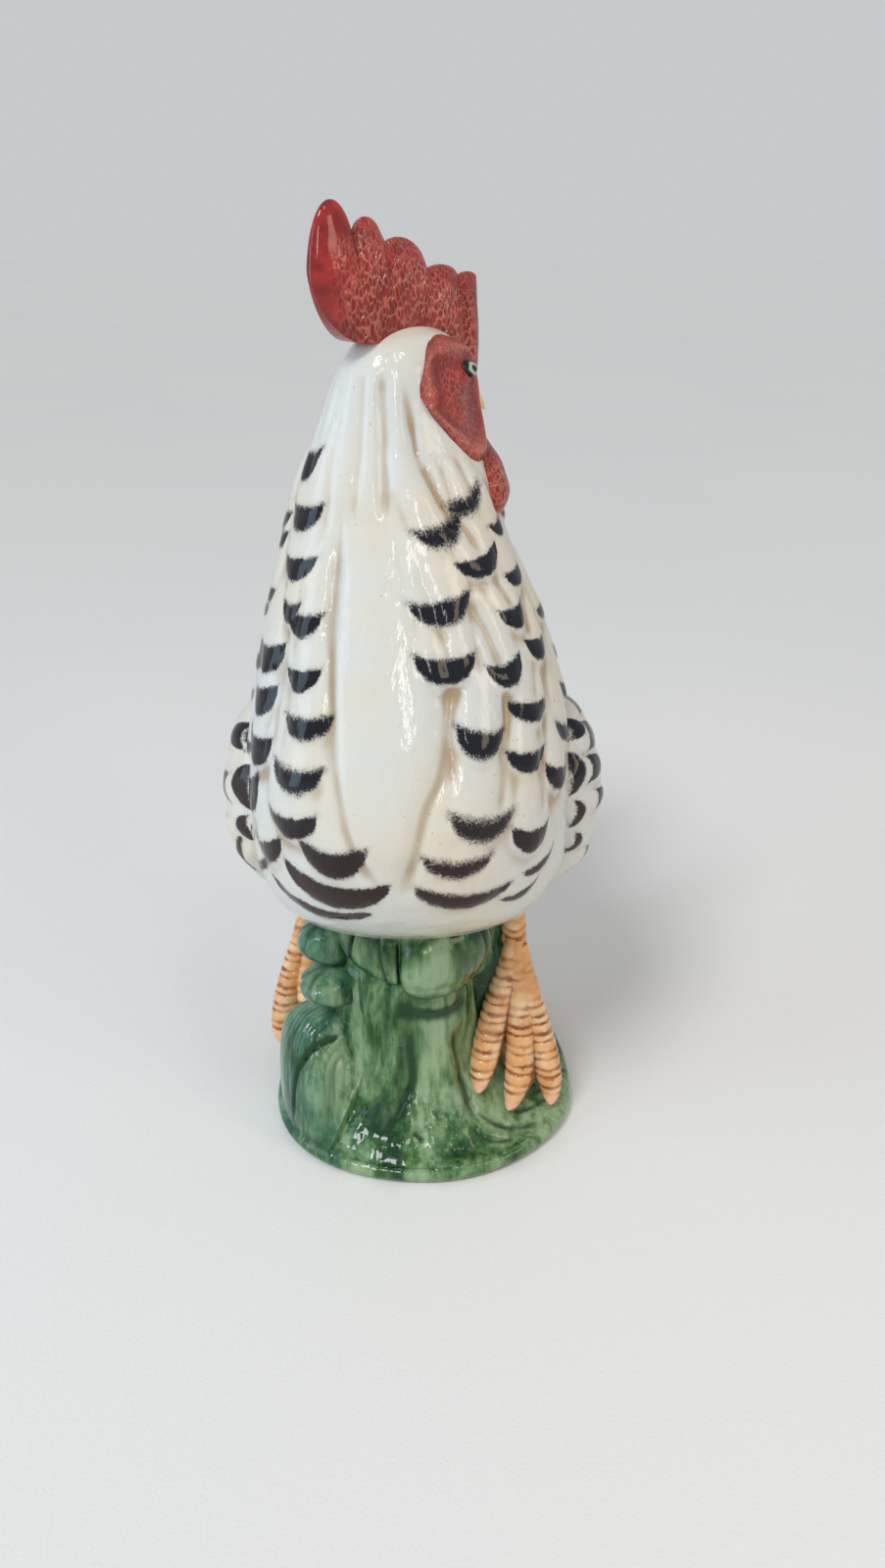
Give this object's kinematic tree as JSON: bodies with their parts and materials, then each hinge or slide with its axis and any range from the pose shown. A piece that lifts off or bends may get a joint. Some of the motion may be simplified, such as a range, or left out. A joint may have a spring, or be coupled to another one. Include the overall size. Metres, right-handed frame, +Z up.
{
  "type": "rooster figurine",
  "caption": "Standing ceramic rooster with its head turned to one side, a five-pointed comb, folded wings and an arched tail, on a tree stump with grass.",
  "frame": {"origin": "on the underside of the base, under the middle of the bird, where it meets the table", "axes": "+Z up, -Y the way the breast faces, +X the bird's left side"},
  "size_m": [0.1361, 0.191, 0.3163],
  "materials": {
    "white_glaze": "glossy ivory glaze with black crescent marks sprayed and brushed under it",
    "red_glaze": "glossy brick red glaze, broken by a paler network",
    "green_glaze": "glossy mottled green glaze, darker in the folds",
    "beak_glaze": "glossy pale yellow glaze",
    "eye_glaze": "glossy pale eye with a dark pupil and outline",
    "leg_glaze": "glossy orange tan glaze with brown bands and pale claws"
  },
  "bodies": {
    "root": {"ground_mound": "green_glaze", "tree_stump": "green_glaze", "burl": "green_glaze", "leaf_front": "green_glaze", "leaf_right": "green_glaze", "knot_left": "green_glaze", "branch_stub": "green_glaze", "grass_tuft": "green_glaze", "body_shell": "white_glaze", "head_neck": "white_glaze", "wing_left": "white_glaze", "wing_right": "white_glaze", "tail_core": "white_glaze", "sickle_left": "white_glaze", "sickle_right": "white_glaze", "covert_left": "white_glaze", "covert_right": "white_glaze", "comb": "red_glaze", "face_left": "red_glaze", "face_right": "red_glaze", "wattle_left": "red_glaze", "wattle_right": "red_glaze", "beak_upper": "beak_glaze", "beak_lower": "beak_glaze", "eye_left": "eye_glaze", "eye_right": "eye_glaze", "shank_left": "leg_glaze", "shank_right": "leg_glaze", "foot_left": "leg_glaze", "foot_right": "leg_glaze"}
  },
  "joints": []
}
